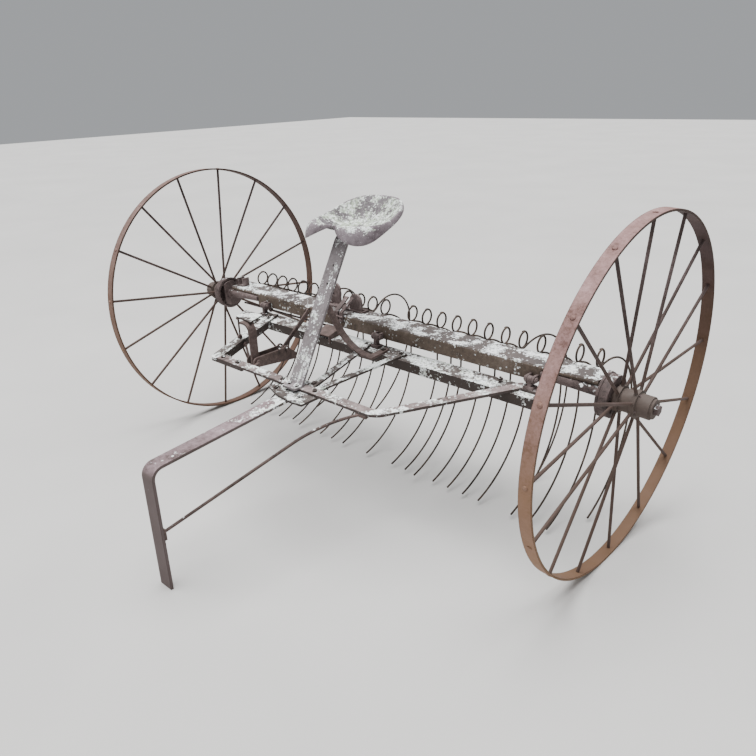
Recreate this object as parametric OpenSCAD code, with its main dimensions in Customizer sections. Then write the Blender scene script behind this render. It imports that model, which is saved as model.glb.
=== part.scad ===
// Two-wheeled sulky dump rake: draft frame, tilting rake head with spring
// teeth, two steel wheels with ratchet drums. X along the axle, +Y rearward,
// +Z up, ground at Z = 0, millimetres.

/* [Wheels] */
// wheel radius over the tyre
wheel_r = 700; // [450:5:850]
// tyre width
rim_w = 48; // [34:1:80]
// tyre thickness
rim_t = 8; // [5:0.5:14]
// distance between the two hub centres
track = 2536; // [2300:10:3000]
// outward lean of the wheel tops, degrees
camber = 3; // [0:0.5:5]
// spokes in one wheel, alternately on two hub rings
spoke_n = 16; // [8:2:24]
// spoke diameter
spoke_d = 13; // [9:0.5:18]
// distance between the two spoke rings on the hub
ring_gap = 64; // [50:1:90]
// first spoke angle, right wheel
spoke_a_right = 71.3; // [0:0.1:90]
// first spoke angle, left wheel
spoke_a_left = 82.3; // [0:0.1:90]
// hub barrel radius
hub_r = 44; // [34:1:50]
// spoke ring radius on the hub
ring_r = 54; // [48:1:70]
// ratchet drum radius
drum_r = 84; // [70:1:110]
// ratchet drum depth
drum_d = 44; // [34:1:60]
// teeth inside one ratchet drum
ratchet_n = 14; // [8:1:24]
// diameter of the holes in a drum's back wall
drum_hole = 20; // [12:1:24]
// distance from the middle to the straight side of a pawl disc
pawl_cut = 45; // [30:1:60]

/* [Axle] */
// spindle diameter
spindle_d = 32; // [25:0.5:40]
// radial clearance of running fits
run_gap = 0.06; // [0.02:0.01:0.1]

/* [Rake head] */
// distance from a hub centre to the beam's end
beam_end = 123; // [116:1:160]
// distance from a hub centre to the end of the beam's front web
web_end = 363; // [300:1:420]
// beam top flange depth, front to rear
beam_dep = 132; // [110:1:160]
// beam front web height
beam_h = 67; // [55:1:90]
// beam metal thickness
beam_t = 8; // [6:0.5:12]
// height of the beam top over the hub centres
beam_up = 50; // [40:1:60]
// front face of the beam ahead of the axle line
beam_fwd = 10; // [5:1:20]

/* [Spring teeth] */
// tooth wire diameter
wire_d = 9; // [7:0.25:12]
// tooth spacing along the beam
tooth_pitch = 89; // [80:1:90]
// tooth places on each side of the middle
tooth_side = 12; // [4:1:12]
// mean radius of the coil
coil_r = 37; // [32:0.5:40]
// distance of the coil centre behind the beam's rear edge
coil_back = 38; // [36:1:60]
// radius of the tooth's upper bow
bow_r = 235; // [190:5:260]
// radius of the tooth's lower sweep
sweep_r = 500; // [420:5:520]

/* [Draft frame] */
// how far the frame stands to the right of the middle
frame_off = 30; // [0:1:60]
// downward lean of the frame toward the front, degrees
frame_lean = 4.75; // [2:0.25:6]
// height of the beam top over the crossbar top
cross_drop = 100.3; // [95:0.1:110]
// crossbar half length
cross_half = 895; // [860:1:960]
// crossbar top flange depth
cross_dep = 92; // [80:1:110]
// crossbar front web height
cross_h = 48; // [38:1:60]
// crossbar metal thickness
cross_t = 8; // [6:0.5:10]
// width of the flat frame bars
bar_w = 46; // [40:1:60]
// thickness of the flat frame bars
bar_t = 12; // [8:0.5:16]
// front bar distance ahead of the crossbar's rear edge
front_y = 539; // [500:1:600]
// half length of the front bar's left side
front_l = 590; // [560:2:640]
// front bar length to the start of the right bend
front_r = 420; // [380:2:460]
// bolt hole diameter at the frame's left corner
bolt_d = 14; // [10:0.5:18]
// width of the left arm's top flange
arm_w = 56; // [46:1:70]
// depth of the left arm's side flange
arm_lip = 28; // [16:1:40]
// width of the two flat braces
brace_w = 36; // [28:1:44]
// thickness of the two flat braces
brace_t = 10; // [6:0.5:12]

/* [Tongue] */
// tongue strap width
tongue_w = 74; // [60:1:90]
// tongue strap thickness
tongue_t = 12; // [10:0.5:16]
// tongue reach ahead of the crossbar's rear edge
tongue_y = 1290; // [1200:5:1400]
// brace rod diameter
rod_d = 13; // [10:0.5:18]
// straight start of the brace rod under the front bar
rod_lead = 32; // [26:1:60]
// bend radius of the brace rod
rod_bend = 650; // [450:10:700]

/* [Seat] */
// seat post bar width
post_w = 82; // [60:1:90]
// seat post bar thickness
post_t = 10; // [8:0.5:14]
// diameter of the two spare holes in the seat post
post_hole = 11; // [8:0.5:16]
// seat pan radius at its sides
seat_r = 200; // [180:1:215]
// seat sheet thickness
seat_t = 4; // [3:0.5:5]
// height of the seat's underside over the beam top
seat_up = 469; // [440:1:500]
// seat middle ahead of the axle line
seat_y = 135; // [110:1:160]
// reach of the two front lobes beyond the seat's radius
seat_flap = 34; // [10:1:45]
// depth of the notch between the front lobes
seat_notch = 55; // [30:1:70]
// extra depth of the rolled edge on the front lobes
seat_droop = 50; // [20:1:60]
// depth of the seat's dish at its sides
seat_dish = 42; // [30:1:60]
// extra height of the seat's back
seat_back = 76; // [40:1:100]

/* [Hinge] */
// spacing of the three hinges
hinge_x = 845; // [780:5:860]
// hinge pin diameter
pin_d = 14; // [10:0.5:18]
// hinge pin distance ahead of the axle line
pin_fwd = 38; // [34:1:46]
// hinge pin height under the beam top
pin_down = 52; // [46:1:56]

/* [Foot lever] */
// place of the foot lever and its link along the axle
link_x = -462; // [-500:1:-430]
// diameter of the link's two pins
link_pin_d = 12; // [8:0.5:16]
// play round the link's lower pin in the foot lever
link_play = 6; // [5:0.5:7]
// foot lever pivot ahead of the axle line
lever_fwd = 400; // [380:5:420]
// height of the crossbar top over the foot lever pivot
lever_drop = 84.5; // [70:0.5:100]
// distance from the foot lever pivot to the link
lever_reach = 185; // [170:1:200]
// width inside the foot lever channel
lever_w = 44; // [40:1:56]
// thickness of the foot lever's sides
lever_t = 7; // [5:0.5:9]
// depth of the foot lever at its pivot
lever_h = 52; // [40:1:60]
// foot lever pivot pin diameter
lever_pin = 16; // [12:0.5:20]
// height of the footrest over the beam top
step_up = 19.7; // [10:0.1:40]
// footrest plate thickness
step_t = 8; // [5:0.5:12]
// width of the hanger strap
strap_w = 44; // [30:1:50]
// thickness of the hanger strap
strap_t = 10; // [6:0.5:12]
// bend radius of the hanger strap
strap_r = 40; // [25:1:60]

/* [Small gear] */
// foot of the curved trip arm, to the right of the frame's middle
trip_x = 69; // [60:1:80]
// start of the trip arm's bend ahead of the crossbar's rear edge
trip_y = 145; // [135:1:160]
// trip arm width
trip_w = 34; // [24:1:40]
// trip arm thickness
trip_t = 10; // [6:0.5:12]
// bend radius of the trip arm
trip_r = 235; // [200:1:260]
// angle the trip arm turns through
trip_turn = 56.6; // [50:0.1:62]
// straight end of the trip arm
trip_len = 119; // [60:1:140]
// place of the rest bracket along the axle
rest_x = -280; // [-300:1:-250]
// rest bracket width
rest_w = 100; // [80:1:120]
// rest bracket height at its rear edge
rest_h = 38; // [30:1:40]
// rest bracket metal thickness
rest_t = 7; // [5:0.5:10]
// place of the ear plate along the beam
ear_x = -382; // [-400:1:-360]

/* [Hidden] */
$fn = 48;
seat_gap = 0.3;
hub_z = wheel_r * cos(camber) + rim_w / 2 * sin(camber);
beam_z = hub_z + beam_up;
cross_z = beam_z - cross_drop;
seat_z = beam_z + seat_up;
beyond = 3000;
beam_rear = beam_dep - beam_fwd;
pin_y = -pin_fwd;
pin_z = beam_z - pin_down;
rust = [0.36, 0.27, 0.23];
grey = [0.45, 0.43, 0.43];
dark = [0.2, 0.17, 0.15];

// helpers

// extrudes a (y, z) outline along x, centred
module along_x(w) {
    rotate([90, 0, 90])
        linear_extrude(height = w, center = true)
            children();
}

// extrudes an (x, z) outline along y, centred
module along_y(w) {
    rotate([90, 0, 0])
        linear_extrude(height = w, center = true)
            children();
}

// straight strip in 2-D from p to q, t thick
module strip(p, q, t) {
    d = q - p;
    translate(p)
        rotate(atan2(d[1], d[0]))
            translate([0, -t / 2])
                square([norm(d), t]);
}

// ring sector in 2-D, below half a turn
module bow(c, r, t, a0, a1) {
    m = (a0 + a1) / 2;
    f = 2 * (r + t);
    translate(c)
        intersection() {
            difference() {
                circle(r + t / 2, $fn = 96);
                circle(r - t / 2, $fn = 96);
            }
            polygon([[0, 0], f * [cos(a0), sin(a0)], f * [cos(m), sin(m)],
                f * [cos(a1), sin(a1)]]);
        }
}

// round bar between two points
module rod(p, q, d) {
    v = q - p;
    translate(p)
        rotate([0, acos(v[2] / norm(v)), atan2(v[1], v[0])])
            cylinder(h = norm(v), d = d);
}

// flat bar between two points, its width level
module flat(p, q, w, t) {
    v = q - p;
    translate(p)
        rotate([asin(v[2] / norm(v)), 0, atan2(-v[0], v[1])])
            translate([-w / 2, 0, -t / 2])
                cube([w, norm(v), t]);
}

// puts its children, drawn from the axle line, on the middle of the whole length
module placed() {
    translate([0, mid_y, 0])
        children();
}

// puts its children in the leaning frame: origin on the crossbar's rear edge
module in_frame() {
    translate([frame_off, -5, cross_z])
        rotate([frame_lean, 0, 0])
            children();
}

// (y, z) of a frame point in the object's own frame
function out(y, z) = [-5 + y * cos(frame_lean) - z * sin(frame_lean),
    cross_z + y * sin(frame_lean) + z * cos(frame_lean)];

// flat bar path in the frame plane, square ends, round corners
module flat_path(pts, w, t) {
    linear_extrude(height = t) {
        for (i = [0 : len(pts) - 2])
            strip(pts[i], pts[i + 1], w);
        if (len(pts) > 2)
            for (i = [1 : len(pts) - 2])
                translate(pts[i])
                    circle(d = w + 0.4);
    }
}

// draft frame

module crossbar() {
    color(grey) placed()
        in_frame() {
            translate([-cross_half, -cross_dep, -cross_t])
                cube([2 * cross_half, cross_dep, cross_t]);
            translate([-cross_half, -cross_dep, -cross_h])
                cube([2 * cross_half, cross_t, cross_h - cross_t / 2]);
        }
}

hoop_a = 56;
hoop_r = 70;
end_y = -30;
module frame_hoop() {
    c = [front_r, -front_y + hoop_r];
    e = c + hoop_r * [sin(hoop_a), -cos(hoop_a)];
    g = e + (end_y - e[1]) / sin(hoop_a) * [cos(hoop_a), sin(hoop_a)];
    color(rust) placed()
        in_frame()
            translate([0, 0, seat_gap])
                linear_extrude(height = bar_t) {
                    strip([-front_l + bar_w / 2 + seat_gap, -front_y], [front_r + 1, -front_y], bar_w);
                    bow(c, hoop_r, bar_w, -90, -90 + hoop_a);
                    translate(e)
                        circle(d = bar_w + 0.3);
                    strip(e, g, bar_w);
                    translate(g)
                        circle(d = bar_w);
                    strip(g, [cross_half - 5, end_y], bar_w);
                }
}

// the left arm's foot, its direction, the way to its right side, and its side flange's middle
arm_foot = [-cross_half + 108, -18];
arm_run = [-front_l, -front_y] - arm_foot;
arm_d = arm_run / norm(arm_run);
arm_n = [-arm_d[1], arm_d[0]];
arm_side = arm_w / 2 - 5;
module left_arm() {
    color(grey) placed()
        in_frame()
            difference() {
                union() {
                    translate([0, 0, seat_gap])
                        flat_path([arm_foot, [-front_l, -front_y], [-front_l + 60, -front_y]],
                            arm_w, bar_t);
                    translate([0, 0, -arm_lip])
                        linear_extrude(height = arm_lip + seat_gap + 1)
                            strip(arm_foot + 95 * arm_d + arm_side * arm_n,
                                arm_foot + 515 * arm_d + arm_side * arm_n, 8);
                }
                translate([-front_l + bar_w / 2, -front_y - arm_w, -1])
                    cube([200, 2 * arm_w - 30, bar_t + 2]);
                translate([-front_l, -front_y, -1])
                    cylinder(h = bar_t + 2, d = bolt_d);
            }
}

module corner_splice() {
    color(grey) placed()
        in_frame()
            difference() {
                translate([-front_l - bar_w / 2 + 4, -front_y - bar_w / 2, -bar_t])
                    cube([235, bar_w, bar_t]);
                translate([-front_l, -front_y, -bar_t - 1])
                    cylinder(h = bar_t + 2, d = bolt_d);
            }
}

// flat brace from the crossbar's top to the front bar, both ends as (x, y)
module brace(p, q) {
    color(grey) placed()
        in_frame()
            translate([0, 0, seat_gap])
                difference() {
                    flat_path([p, q], brace_w, brace_t);
                    translate([-200, -front_y - 100, -1])
                        cube([500, 100 + bar_w / 2 + seat_gap, 20]);
                }
}
module brace_left() {
    brace([-50, -34], [60, -front_y + 20]);
}
module brace_right() {
    brace([176, -34], [100, -front_y + 20]);
}

module gusset() {
    color(grey) placed()
        in_frame()
            translate([0, 0, -10])
                linear_extrude(height = 10)
                    polygon([[-133, -598], [-33, -635], [60, -646], [135, -641], [141, -596],
                        [150, -490], [-20, -468], [-120, -520]]);
}

module tongue() {
    top = -10 - seat_gap - tongue_t / 2;
    fr = 46;
    c = [-tongue_y + fr, top - fr];
    color(rust) placed()
        translate([frame_off, -5, cross_z])
            intersection() {
                rotate([frame_lean, 0, 0]) {
                    along_x(tongue_w) {
                        strip([-tongue_y + fr, top], [-470, top], tongue_t);
                        bow(c, fr, tongue_t, 90, 180 - frame_lean);
                        translate(c)
                            rotate(180 - frame_lean)
                                translate([fr, 0]) {
                                    strip([0, 0], [0, 700], tongue_t);
                                    circle(d = tongue_t + 0.3);
                                }
                    }
                }
                translate([-beyond / 2, -beyond / 2, -cross_z])
                    cube([beyond, beyond, beyond]);
            }
}

leg_fr = 46;
leg_c = out(-tongue_y + leg_fr, -10 - seat_gap - tongue_t / 2 - leg_fr);
mid_y = (leg_fr + tongue_t / 2 - leg_c[0] - wheel_r) / 2;
rod_yz = out(-front_y - 3, -rod_d / 2 - 1.5);
rod_start = [frame_off + 396, rod_yz[0], rod_yz[1]];
rod_foot = [frame_off + 16, leg_c[0] - leg_fr + tongue_t / 2 + seat_gap + 5, 250];
rod_slope = 3;
// in the rod's own upright plane: [along, up] of its foot, bend centre, and the slope after the bend
rod_f = [norm([rod_foot[0] - rod_start[0], rod_foot[1] - rod_start[1]]), rod_foot[2] - rod_start[2]];
rod_p = rod_lead * [cos(rod_slope), -sin(rod_slope)];
rod_c = rod_p - rod_bend * [sin(rod_slope), cos(rod_slope)];
rod_v = rod_f - rod_c;
rod_b = sqrt(rod_v * rod_v - rod_bend * rod_bend);
rod_end = 90 - atan2(rod_v[1], rod_v[0]) - atan2(rod_b, rod_bend);
rod_q = rod_c + rod_bend * [sin(rod_end), cos(rod_end)];
module brace_rod() {
    color(rust) placed() {
        in_frame()
            translate([rod_start[0] - frame_off - 26, -front_y - 23, -rod_d - 2])
                cube([56, 44, rod_d + 2]);
        translate(rod_start)
            rotate([0, 0, atan2(rod_foot[1] - rod_start[1], rod_foot[0] - rod_start[0])])
                rotate([90, 0, 0]) {
                    rod([0, 0, 0], [rod_p[0], rod_p[1], 0], rod_d);
                    translate(rod_c)
                        rotate([0, 0, 90 - rod_end])
                            rotate_extrude(angle = rod_end - rod_slope)
                                translate([rod_bend, 0])
                                    circle(d = rod_d);
                    rod([rod_q[0], rod_q[1], 0], [rod_f[0], rod_f[1], 0], rod_d);
                    for (j = [[rod_p, rod_slope], [rod_q, rod_end]])
                        translate(j[0])
                            rotate([0, 90, -j[1]])
                                cylinder(h = 1.2, d = rod_d + 0.6, center = true);
                }
        translate(rod_foot - [19, 5, 26])
            cube([38, 10, 46]);
    }
}

// seat

post_a = 60.8;
post_holes = [453, 536];
post_r = 60;
post_b = out(-front_y - 6, bar_t + 2 * seat_gap + post_t / 2);
post_top = seat_z - seat_gap - post_t / 2;
module seat_post() {
    u = [cos(post_a), sin(post_a)];
    b = post_b;
    p = b + (post_top - post_r * (1 - cos(post_a)) - b[1]) / sin(post_a) * u;
    c = p + post_r * [sin(post_a), -cos(post_a)];
    color(grey) placed()
        translate([frame_off, 0, 0])
            difference() {
            along_x(post_w) {
                strip(b, p, post_t);
                bow(c, post_r, post_t, 90, 90 + post_a);
                translate(p)
                    circle(d = post_t + 0.3);
                translate([c[0] - 1, post_top - post_t / 2])
                    square([150, post_t]);
                translate(b)
                    circle(d = post_t);
                strip(b - 44 * [cos(frame_lean), sin(frame_lean)], b, post_t);
            }
            for (k = post_holes)
                translate([0, b[0] + k * u[0], b[1] + k * u[1]])
                    rotate([post_a, 0, 0])
                        cylinder(h = 3 * post_t, d = post_hole, center = true);
            }
}

// the seat's outline and form by q, the angle from its front notch: 0 at the notch, 180 at the back
function peak(a, m, w) = exp(-pow((a - m) / w, 2));
function ease(x) = x * x * (3 - 2 * x);
function from_front(t) = abs((t + 270) % 360 - 180);
function seat_edge(q) = seat_r - 8 * peak(q, 180, 40) + 6 * peak(q, 130, 25)
    - seat_notch * peak(q, 0, 18) + seat_flap * peak(q, 42, 28);
function roll_w(q) = 14 + 42 * peak(q, 44, 22) - 11 * peak(q, 0, 16) - 4 * peak(q, 180, 40);
function roll_a(q) = max(roll_w(q) / 1.4, seat_t + 2);
function roll_b(q) = max(24 + seat_droop * peak(q, 46, 30) - 22 * peak(q, 0, 22)
    - 14 * peak(q, 180, 50), seat_t + 2);
function crest_r(q) = seat_edge(q) - roll_w(q);
function crest_h(q) = seat_dish + seat_back * ease(pow((1 - cos(q)) / 2, 1.9));
function crest_s(q) = 2.6 * crest_h(q) / crest_r(q);
function roll_0(q) = atan(crest_s(q) * roll_a(q) / roll_b(q));
// [radius, height] of ring k, on the top skin for s = 1 and on the underside for s = 0
function dish_pt(q, v, m, d) = [crest_r(q) * v + d * sin(m), crest_h(q) * pow(v, 2.6) - d * cos(m)];
function roll_pt(q, a, b, d) = [crest_r(q) + roll_a(q) * sin(b) + (roll_a(q) - d) * sin(a),
    crest_h(q) - roll_b(q) * cos(b) + (roll_b(q) - d) * cos(a)];
function seat_ring(q, k, d) = k <= seat_nb
    ? dish_pt(q, k / seat_nb, atan(crest_s(q) * pow(k / seat_nb, 1.6)), d)
    : roll_pt(q, (k - seat_nb) / seat_nr * (90 + roll_0(q)) - roll_0(q), roll_0(q), d);
seat_nt = 72;
seat_nb = 8;
seat_nr = 5;
seat_nu = seat_nb + seat_nr;
function seat_pt(i, k, s) = let (t = i * 360 / seat_nt, p = seat_ring(from_front(t), k, (1 - s) * seat_t))
    [p[0] * cos(t), p[0] * sin(t), p[1] + seat_t];
function seat_id(i, j, s) = 2 + s * seat_nt * seat_nu + (j - 1) * seat_nt + (i % seat_nt);

module seat_pan() {
    pts = concat([[0, 0, 0], [0, 0, seat_t]],
        [for (s = [0, 1]) for (j = [1 : seat_nu]) for (i = [0 : seat_nt - 1]) seat_pt(i, j, s)]);
    faces = concat(
        [for (i = [0 : seat_nt - 1]) [0, seat_id(i, 1, 0), seat_id(i + 1, 1, 0)]],
        [for (i = [0 : seat_nt - 1]) [1, seat_id(i + 1, 1, 1), seat_id(i, 1, 1)]],
        [for (j = [1 : seat_nu - 1]) for (i = [0 : seat_nt - 1])
            each [[seat_id(i, j, 0), seat_id(i, j + 1, 0), seat_id(i + 1, j + 1, 0)],
                [seat_id(i, j, 0), seat_id(i + 1, j + 1, 0), seat_id(i + 1, j, 0)]]],
        [for (j = [1 : seat_nu - 1]) for (i = [0 : seat_nt - 1])
            each [[seat_id(i, j, 1), seat_id(i + 1, j + 1, 1), seat_id(i, j + 1, 1)],
                [seat_id(i, j, 1), seat_id(i + 1, j, 1), seat_id(i + 1, j + 1, 1)]]],
        [for (i = [0 : seat_nt - 1])
            each [[seat_id(i, seat_nu, 0), seat_id(i, seat_nu, 1), seat_id(i + 1, seat_nu, 1)],
                [seat_id(i, seat_nu, 0), seat_id(i + 1, seat_nu, 1), seat_id(i + 1, seat_nu, 0)]]]);
    color(grey) placed()
        translate([frame_off, -seat_y, seat_z])
            polyhedron(pts, faces, convexity = 6);
}

// hinges

module hinge_eyes() {
    color(rust) placed()
        for (k = [-1, 0, 1])
            translate([frame_off + k * hinge_x, 0, 0])
                difference() {
                    union() {
                        translate([0, pin_y, pin_z])
                            rotate([0, 90, 0])
                                cylinder(h = 18, r = 15, center = true);
                        translate([-9, pin_y - 12, cross_z - 20])
                            cube([18, 24, pin_z - cross_z + 20]);
                        translate([-22, pin_y - 19, cross_z - 20])
                            cube([44, 38, 20 + (k == 1 ? 20 : 9)]);
                        translate([0, pin_y, pin_z])
                            rotate([0, 90, 0])
                                cylinder(h = 54, d = pin_d, center = true);
                    }
                    in_frame()
                        translate([-200, -200, -60])
                            cube([400, 300, 60 + seat_gap + (k == 1 ? bar_t + seat_gap : 0)]);
                }
}

module hinge_forks() {
    color(rust) placed()
        for (k = [-1, 0, 1])
            for (s = [-1, 1])
                translate([frame_off + k * hinge_x + s * 16, 0, 0])
                    difference() {
                        along_x(10) {
                            translate([pin_y, pin_z])
                                circle(r = 16);
                            translate([pin_y, pin_z - 15])
                                square([pin_fwd - beam_fwd - seat_gap, 31]);
                        }
                        translate([0, pin_y, pin_z])
                            rotate([0, 90, 0])
                                cylinder(h = 20, d = pin_d + 2 * run_gap, center = true);
                    }
}

// rake head

link_pin = [pin_y + 8, pin_z + 32];
beam_half = track / 2 - beam_end;
arm_in = track / 2 - web_end;
module head_beam() {
    color(grey) placed() {
        translate([-beam_half, -beam_fwd + 4, beam_z - beam_t])
            cube([2 * beam_half, beam_dep - 4, beam_t]);
        translate([-beam_half, -beam_fwd + 10, beam_z - 10])
            rotate([0, 90, 0])
                cylinder(h = 2 * beam_half, r = 10);
        translate([-arm_in, -beam_fwd, beam_z - beam_h])
            cube([2 * arm_in, beam_t, beam_h - 10]);
        translate([link_x - 18, 0, 0])
            along_x(8) {
                translate(link_pin)
                    circle(r = 13);
                translate([link_pin[0], link_pin[1] - 13])
                    square([-link_pin[0], 26]);
            }
        translate([link_x - 18, link_pin[0], link_pin[1]])
            rotate([0, 90, 0])
                cylinder(h = 26, d = 12);
    }
}

// half-round arm under the beam end and the turned spindle, leaning with the wheel
module spindle(s) {
    color(rust) placed()
        difference() {
            translate([s * track / 2, 0, hub_z])
                rotate([0, s * camber, 0]) {
                    rotate([0, 90, 0])
                        cylinder(h = 210, d = spindle_d, center = true);
                    translate([s * 102, 0, 0])
                        rotate([0, s * 90, 0])
                            cylinder(h = 14, r = 22, $fn = 6);
                    translate([-s * 300, 0, 0])
                        rotate([0, 90, 0])
                            cylinder(h = 210 * 2 * 0.93, r = 21, center = true);
                    translate([-s * 111, 0, 0])
                        rotate([0, 90, 0])
                            cylinder(h = 8, r = 30, center = true);
                }
            translate([-beyond / 2, -200, beam_z - 20 - seat_gap])
                cube([beyond, 400, 100]);
            translate([-arm_in - seat_gap, -200, 0])
                cube([2 * (arm_in + seat_gap), 400, beyond]);
        }
}
module spindle_left() {
    spindle(-1);
}
module spindle_right() {
    spindle(1);
}

// spring teeth

// bent teeth: place on the beam, upward angle where it leaves the coil, bow radius
bent = [[4, -4, 235], [6, 35, 150], [10, 45, 150], [15, -16, 225], [20, 20, 300], [24, 14, 260]];
missing = [12];
function shape(i) = let (h = [for (b = bent) if (b[0] == i) b]) len(h) > 0 ? h[0] : [i, -10, bow_r];
wire_z = beam_z - beam_t - wire_d / 2 - seat_gap;
coil_y = beam_rear + coil_back;
coil_z = wire_z + coil_r;

// arc of wire in the (y, z) plane
module wire_arc(c, r, a0, a1) {
    translate([0, c[0], c[1]])
        rotate([90, 0, 90])
            rotate([0, 0, a0])
                rotate_extrude(angle = a1 - a0)
                    translate([r, 0])
                        circle(d = wire_d, $fn = 24);
}

module tooth(i) {
    up = shape(i)[1];
    b = shape(i)[2];
    q = 270 + up;
    s = [coil_y, coil_z] + coil_r * [cos(q), sin(q)];
    c = s - b * [cos(90 + up), sin(90 + up)];
    e = c + [b, 0];
    drop = min(sweep_r * sin(75), e[1] - 20);
    translate([(i - tooth_side) * tooth_pitch, 0, 0]) {
        translate([-wire_d * 0.3, 0, 0]) {
            translate([0, 30, wire_z])
                rotate([-90, 0, 0])
                    cylinder(h = coil_y - 30, d = wire_d, $fn = 24);
            wire_arc([coil_y, coil_z], coil_r, -90, 96);
        }
        translate([wire_d * 0.3, 0, 0]) {
            wire_arc([coil_y, coil_z], coil_r, 84, q);
            wire_arc(c, b, 0, 90 + up);
            wire_arc(e - [sweep_r, 0], sweep_r, -asin(drop / sweep_r), 0);
            for (j = [s, e])
                translate([0, j[0], j[1]])
                    sphere(d = wire_d + 0.4, $fn = 24);
        }
    }
}

module teeth(i0, i1) {
    color(dark) placed()
        for (i = [i0 : i1])
            if (len([for (m = missing) if (m == i) m]) == 0)
                tooth(i);
}
module teeth_a() {
    teeth(0, 5);
}
module teeth_b() {
    teeth(6, 11);
}
module teeth_c() {
    teeth(12, 18);
}
module teeth_d() {
    teeth(19, 24);
}

module tooth_clips() {
    color(rust) placed()
        for (i = [0 : 2 * tooth_side])
            translate([(i - tooth_side) * tooth_pitch - wire_d * 0.3, 34, 0])
                difference() {
                    translate([-14, 0, wire_z - wire_d / 2 - seat_gap - 6])
                        cube([28, 66, wire_d + 6 + seat_gap]);
                    translate([-wire_d / 2 - seat_gap, -1, wire_z - wire_d / 2 - seat_gap])
                        cube([wire_d + 2 * seat_gap, 68, 30]);
                }
}

// wheels

module wheel_place(s) {
    translate([s * track / 2, 0, hub_z])
        rotate([0, s * camber, 0])
            children();
}

module rim(s) {
    color(rust) placed()
        wheel_place(s)
            rotate([0, 90, 0])
                difference() {
                    cylinder(h = rim_w, r = wheel_r, center = true, $fn = 180);
                    cylinder(h = rim_w + 2, r = wheel_r - rim_t, center = true, $fn = 180);
                }
}

module spoke_hub(s, a0) {
    far = wheel_r - rim_t;
    len_s = norm([ring_gap / 2, far - 30]);
    color(rust) placed()
        wheel_place(s)
            difference() {
                union() {
                    intersection() {
                        union()
                            for (k = [0 : spoke_n - 1])
                                let (e = k % 2 == 0 ? 1 : -1)
                                    rotate([a0 - k * 360 / spoke_n, 0, 0])
                                        translate([e * ring_gap / 2, 30, 0])
                                            rotate([0, 0, atan2(e * ring_gap / 2, far - 30)])
                                                rotate([-90, 0, 0])
                                                    cylinder(h = len_s, d = spoke_d);
                        rotate([0, 90, 0])
                            cylinder(h = 200, r = far - seat_gap, center = true, $fn = 180);
                    }
                    translate([-s * 50, 0, 0])
                        rotate([0, s * 90, 0])
                            cylinder(h = 140, r = hub_r);
                    for (e = [-1, 1])
                        translate([e * ring_gap / 2, 0, 0])
                            rotate([0, 90, 0])
                                cylinder(h = 18, r = ring_r, center = true);
                    translate([s * 86, 0, 0])
                        rotate([0, s * 90, 0])
                            cylinder(h = 14, r = hub_r - 6);
                }
                rotate([0, 90, 0])
                    cylinder(h = 400, d = spindle_d + 2 * run_gap, center = true);
            }
}

module drum(s) {
    color(rust) placed()
        wheel_place(s)
            translate([-s * (50 + seat_gap), 0, 0])
                rotate([0, -s * 90, 0])
                    difference() {
                        union() {
                            difference() {
                                union() {
                                    cylinder(h = drum_d, r = drum_r);
                                    translate([0, 0, drum_d - 8])
                                        cylinder(h = 8, r = drum_r + 4);
                                }
                                translate([0, 0, 9])
                                    cylinder(h = drum_d, r = drum_r - 8);
                            }
                            for (k = [0 : ratchet_n - 1])
                                rotate([0, 0, k * 360 / ratchet_n])
                                    translate([0, 0, 4])
                                        linear_extrude(height = drum_d - 10)
                                            polygon([[drum_r - 4, -9], [drum_r - 18, 7], [drum_r - 4, 9]]);
                        }
                        translate([0, 0, -1])
                            cylinder(h = drum_d + 2, d = spindle_d + 2 * run_gap);
                        for (k = [0 : 5])
                            rotate([0, 0, 30 + k * 60])
                                translate([(hub_r + drum_r - 18) / 2 + 2, 0, -1])
                                    cylinder(h = 12, d = drum_hole);
                    }
}
module rim_left() {
    rim(-1);
}
module rim_right() {
    rim(1);
}
module spokes_left() {
    spoke_hub(-1, spoke_a_left);
}
module spokes_right() {
    spoke_hub(1, spoke_a_right);
}
module drum_left() {
    drum(-1);
}
module drum_right() {
    drum(1);
}

// levers and small gear

module pawl(s) {
    color(rust) placed()
        wheel_place(s)
            translate([-s * (50 + drum_d - 1), 0, 0])
                rotate([0, -s * 90, 0])
                    difference() {
                        linear_extrude(height = 10)
                            difference() {
                                circle(r = drum_r - 13);
                                translate([-drum_r, -drum_r - pawl_cut])
                                    square([2 * drum_r, drum_r]);
                            }
                        translate([0, 0, -1])
                            cylinder(h = 20, d = spindle_d + 2 * run_gap);
                    }
}
module pawl_left() {
    pawl(-1);
}
module pawl_right() {
    pawl(1);
}

trip_z = beam_z - 98;
module trip_rod() {
    color(rust) placed() {
        rod([-beam_half + 55, 30, trip_z], [-296, 30, trip_z], 11);
        for (x = [-850, -582, -312])
            translate([x, 0, 0])
                along_x(8) {
                    translate([30, trip_z])
                        circle(r = 13);
                    translate([17, trip_z])
                        square([26, beam_z - beam_t - seat_gap - trip_z]);
                }
    }
}

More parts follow.
